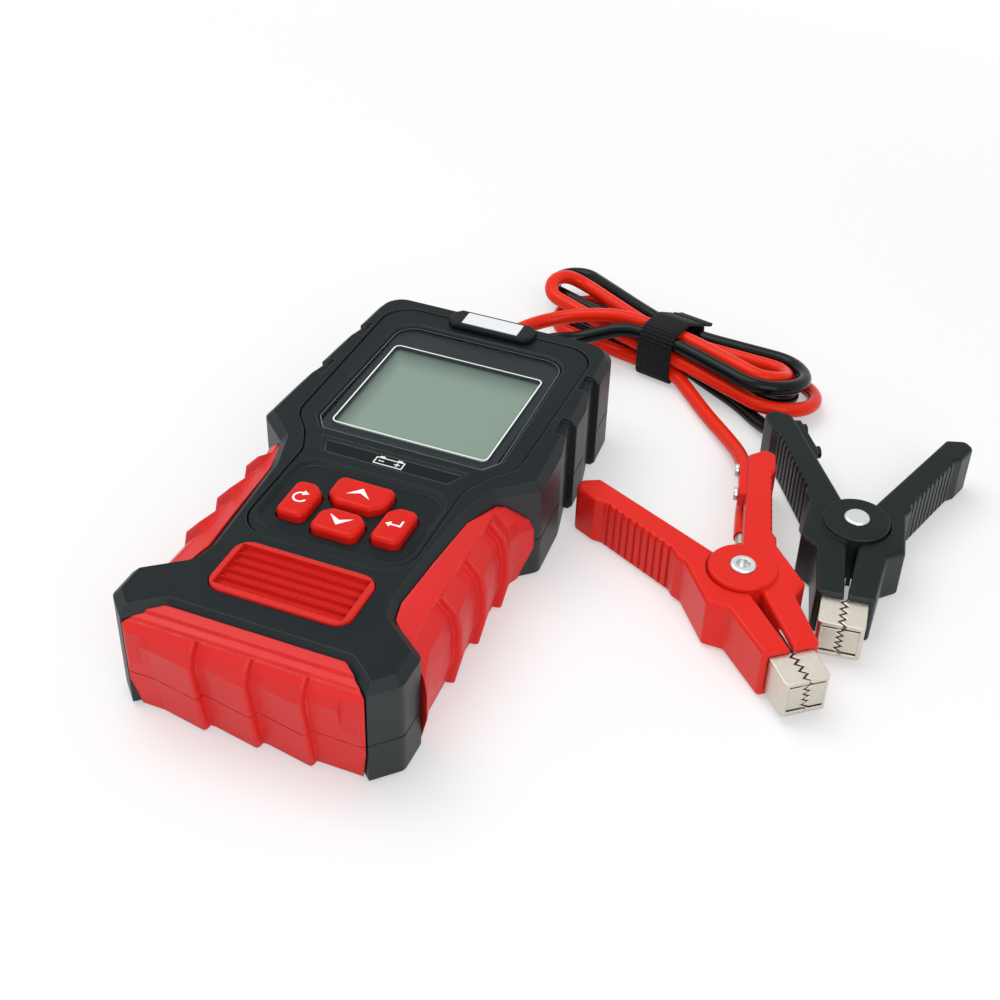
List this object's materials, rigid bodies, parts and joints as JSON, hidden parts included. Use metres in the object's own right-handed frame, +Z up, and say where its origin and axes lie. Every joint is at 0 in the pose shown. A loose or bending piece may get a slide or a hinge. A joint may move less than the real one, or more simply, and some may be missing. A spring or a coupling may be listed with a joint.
{
  "type": "handheld battery tester",
  "caption": "Handheld battery tester with a display, keypad and shingled grips, two clamp leads folded into a strapped hank, keys that press and spring clamps that open.",
  "frame": {"origin": "middle of the tester's underside, on the floor", "axes": "+Y along the tester to the screen end, +Z up out of the screen, +X to the right of the screen"},
  "size_m": [0.1998, 0.2612, 0.0362],
  "materials": {
    "black_shell": "satin moulded",
    "black_panel": "fine satin",
    "red_grip": "satin over-moulded",
    "red_key": "gloss moulded",
    "window": "clear gloss",
    "display": "reflective display",
    "white_label": "plain white",
    "board": "solder mask",
    "component": "moulded",
    "resistor": "cast",
    "steel": "plated",
    "jaw": "nickel plated",
    "red_clamp": "satin moulded",
    "black_clamp": "satin moulded",
    "red_cord": "soft gloss",
    "black_cord": "soft gloss",
    "strap": "woven"
  },
  "bodies": {
    "tester": {"front_cover": "black_shell", "rear_cover": "black_shell", "label_tab": "black_shell", "front_panel": "black_panel", "ribbed_inlay": "red_grip", "left_grip": "red_grip", "right_grip": "red_grip", "front_bumper": "red_grip", "rear_bumper": "red_grip", "lens": "window", "lcd_module": "display", "label_plate": "white_label", "main_board": "board", "tact_switches": "component", "buzzer": "component", "load_resistor": "resistor", "case_screws": "steel", "board_screws": "steel", "red_cable_screws": "steel", "black_cable_screws": "steel", "red_rivet": "steel", "black_rivet": "steel", "red_fixed_jaw": "jaw", "black_fixed_jaw": "jaw", "red_fixed_arm": "red_clamp", "black_fixed_arm": "black_clamp", "red_lead_start": "red_cord", "red_lead_hank": "red_cord", "red_lead_end": "red_cord", "red_gland": "red_cord", "black_lead_start": "black_cord", "black_lead_hank": "black_cord", "black_lead_end": "black_cord", "black_gland": "black_cord", "cord_strap": "strap"},
    "reset_key": {"reset_key": "red_key"},
    "up_key": {"up_key": "red_key"},
    "down_key": {"down_key": "red_key"},
    "enter_key": {"enter_key": "red_key"},
    "red_moving_half": {"red_moving_arm": "red_clamp", "red_moving_jaw": "jaw"},
    "black_moving_half": {"black_moving_arm": "black_clamp", "black_moving_jaw": "jaw"}
  },
  "joints": [
    {"name": "reset_key_press", "type": "slide", "parent": "tester", "child": "reset_key", "axis": [0, 0, -1], "range_m": [0, 0.0008], "stiffness_N_per_m": 400, "springref_m": -0.0004},
    {"name": "up_key_press", "type": "slide", "parent": "tester", "child": "up_key", "axis": [0, 0, -1], "range_m": [0, 0.0008], "stiffness_N_per_m": 400, "springref_m": -0.0004},
    {"name": "down_key_press", "type": "slide", "parent": "tester", "child": "down_key", "axis": [0, 0, -1], "range_m": [0, 0.0008], "stiffness_N_per_m": 400, "springref_m": -0.0004},
    {"name": "enter_key_press", "type": "slide", "parent": "tester", "child": "enter_key", "axis": [0, 0, -1], "range_m": [0, 0.0008], "stiffness_N_per_m": 400, "springref_m": -0.0004},
    {"name": "red_clamp_open", "type": "hinge", "parent": "tester", "child": "red_moving_half", "pos_m": [0.1038, 0.018, 0.0095], "axis": [0, 0, -1], "range_deg": [0, 28], "stiffness_Nm_per_rad": 0.5, "springref_deg": -34.38},
    {"name": "black_clamp_open", "type": "hinge", "parent": "tester", "child": "black_moving_half", "pos_m": [0.129, 0.0528, 0.0095], "axis": [0, 0, 1], "range_deg": [0, 28], "stiffness_Nm_per_rad": 0.5, "springref_deg": -34.38}
  ]
}
